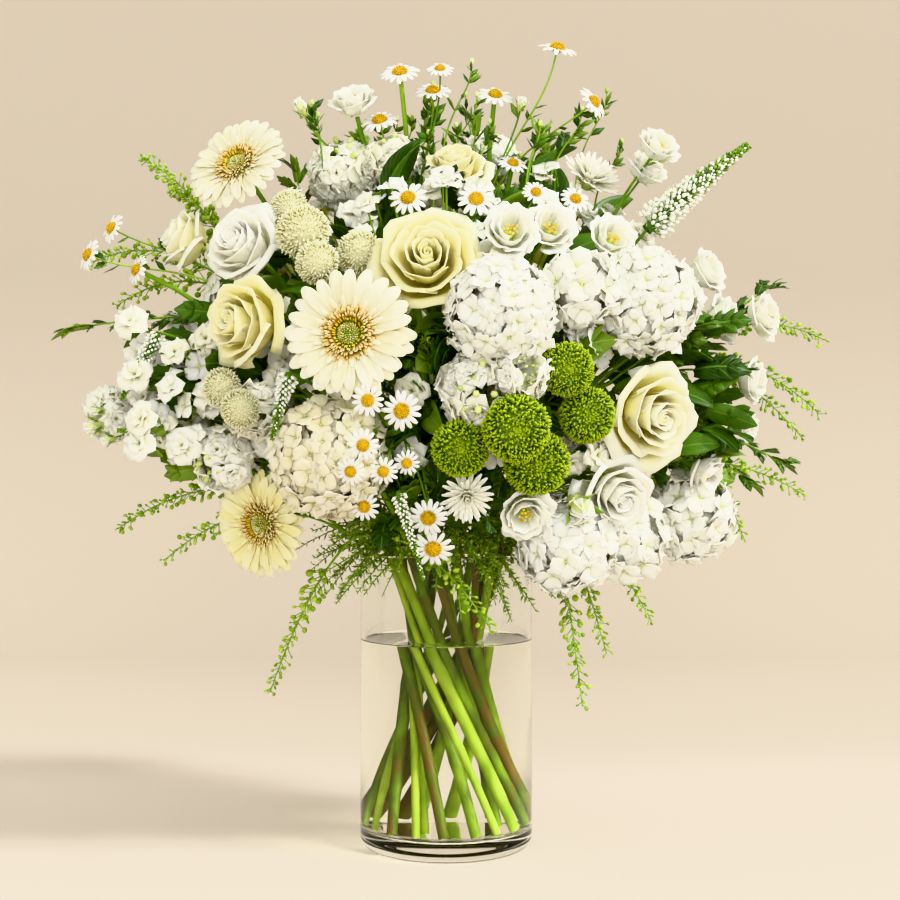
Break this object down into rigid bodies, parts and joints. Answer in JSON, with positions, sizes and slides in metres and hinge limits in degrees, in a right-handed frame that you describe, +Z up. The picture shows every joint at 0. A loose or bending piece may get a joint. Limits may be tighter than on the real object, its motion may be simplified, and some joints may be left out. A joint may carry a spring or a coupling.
{
  "type": "floral table centerpiece",
  "caption": "Glass cylinder vase of water holding a dense, domed bouquet of white, ivory and cream garden flowers with green foliage, for the middle of a table.",
  "frame": {"origin": "centre of the vase's flat underside, on the table", "axes": "+Z up along the vase's axis, -Y towards the side the bouquet faces, +X to the right seen from that side"},
  "size_m": [0.5406, 0.3402, 0.5493],
  "materials": {
    "vase": "clear polished glass",
    "water": "clear still water",
    "stems": "fresh green stems, satin",
    "chamomile_back": "white petals, soft satin",
    "chamomile_front": "white petals, soft satin",
    "chamomile_left": "white petals, soft satin",
    "chamomile_top": "white petals, soft satin",
    "chamomile_top_right": "white petals, soft satin",
    "chamomile_upper": "white petals, soft satin",
    "gerbera_back": "ivory petals, soft satin",
    "gerbera_back_disc": "matte velvety disc florets",
    "gerbera_front": "ivory petals, soft satin",
    "gerbera_front_disc": "matte velvety disc florets",
    "gerbera_low_left": "ivory petals, soft satin",
    "gerbera_low_left_disc": "matte velvety disc florets",
    "gerbera_top_left": "ivory petals, soft satin",
    "gerbera_top_left_disc": "matte velvety disc florets",
    "green_mums_back": "green button florets, matte",
    "green_mums_centre": "green button florets, matte",
    "green_mums_right": "green button florets, matte",
    "hydrangea_back": "white petals, soft satin",
    "hydrangea_centre": "white petals, soft satin",
    "hydrangea_left": "white petals, soft satin",
    "hydrangea_low": "white petals, soft satin",
    "hydrangea_right": "white petals, soft satin",
    "leaves_back": "green leaf, satin",
    "leaves_left": "green leaf, satin",
    "leaves_right": "green leaf, satin",
    "leaves_top": "green leaf, satin",
    "lisianthus_back": "white petals, soft satin",
    "lisianthus_left": "white petals, soft satin",
    "lisianthus_low": "white petals, soft satin",
    "lisianthus_middle": "white petals, soft satin",
    "lisianthus_right": "white petals, soft satin",
    "lisianthus_side": "white petals, soft satin",
    "lisianthus_top": "white petals, soft satin",
    "penny_cress_far_right": "light green pods, satin",
    "penny_cress_left": "light green pods, satin",
    "penny_cress_low": "light green pods, satin",
    "penny_cress_right": "light green pods, satin",
    "pompons_back": "cream fluffy petals, matte",
    "pompons_left": "cream fluffy petals, matte",
    "pompons_top": "cream fluffy petals, matte",
    "rose_back_left": "pale cream petals, soft satin",
    "rose_back_right": "pale cream petals, soft satin",
    "rose_centre": "pale cream petals, soft satin",
    "rose_far_left": "pale cream petals, soft satin",
    "rose_left": "pale cream petals, soft satin",
    "rose_right": "pale cream petals, soft satin",
    "spray_rose": "pale cream petals, soft satin",
    "stock_back": "white petals, soft satin",
    "stock_centre": "white petals, soft satin",
    "stock_crown": "white petals, soft satin",
    "stock_left": "white petals, soft satin",
    "stock_top": "white petals, soft satin",
    "veronica_left": "dark green spike, matte",
    "veronica_low": "dark green spike, matte",
    "veronica_right": "dark green spike, matte",
    "white_mum_low": "white petals, soft satin",
    "white_mum_top": "white petals, soft satin"
  },
  "bodies": {
    "root": {"vase": "vase", "water": "water", "stems": "stems", "chamomile_back": "chamomile_back", "chamomile_front": "chamomile_front", "chamomile_left": "chamomile_left", "chamomile_top": "chamomile_top", "chamomile_top_right": "chamomile_top_right", "chamomile_upper": "chamomile_upper", "gerbera_back": "gerbera_back", "gerbera_back_disc": "gerbera_back_disc", "gerbera_front": "gerbera_front", "gerbera_front_disc": "gerbera_front_disc", "gerbera_low_left": "gerbera_low_left", "gerbera_low_left_disc": "gerbera_low_left_disc", "gerbera_top_left": "gerbera_top_left", "gerbera_top_left_disc": "gerbera_top_left_disc", "green_mums_back": "green_mums_back", "green_mums_centre": "green_mums_centre", "green_mums_right": "green_mums_right", "hydrangea_back": "hydrangea_back", "hydrangea_centre": "hydrangea_centre", "hydrangea_left": "hydrangea_left", "hydrangea_low": "hydrangea_low", "hydrangea_right": "hydrangea_right", "leaves_back": "leaves_back", "leaves_left": "leaves_left", "leaves_right": "leaves_right", "leaves_top": "leaves_top", "lisianthus_back": "lisianthus_back", "lisianthus_left": "lisianthus_left", "lisianthus_low": "lisianthus_low", "lisianthus_middle": "lisianthus_middle", "lisianthus_right": "lisianthus_right", "lisianthus_side": "lisianthus_side", "lisianthus_top": "lisianthus_top", "penny_cress_far_right": "penny_cress_far_right", "penny_cress_left": "penny_cress_left", "penny_cress_low": "penny_cress_low", "penny_cress_right": "penny_cress_right", "pompons_back": "pompons_back", "pompons_left": "pompons_left", "pompons_top": "pompons_top", "rose_back_left": "rose_back_left", "rose_back_right": "rose_back_right", "rose_centre": "rose_centre", "rose_far_left": "rose_far_left", "rose_left": "rose_left", "rose_right": "rose_right", "spray_rose": "spray_rose", "stock_back": "stock_back", "stock_centre": "stock_centre", "stock_crown": "stock_crown", "stock_left": "stock_left", "stock_top": "stock_top", "veronica_left": "veronica_left", "veronica_low": "veronica_low", "veronica_right": "veronica_right", "white_mum_low": "white_mum_low", "white_mum_top": "white_mum_top"}
  },
  "joints": []
}
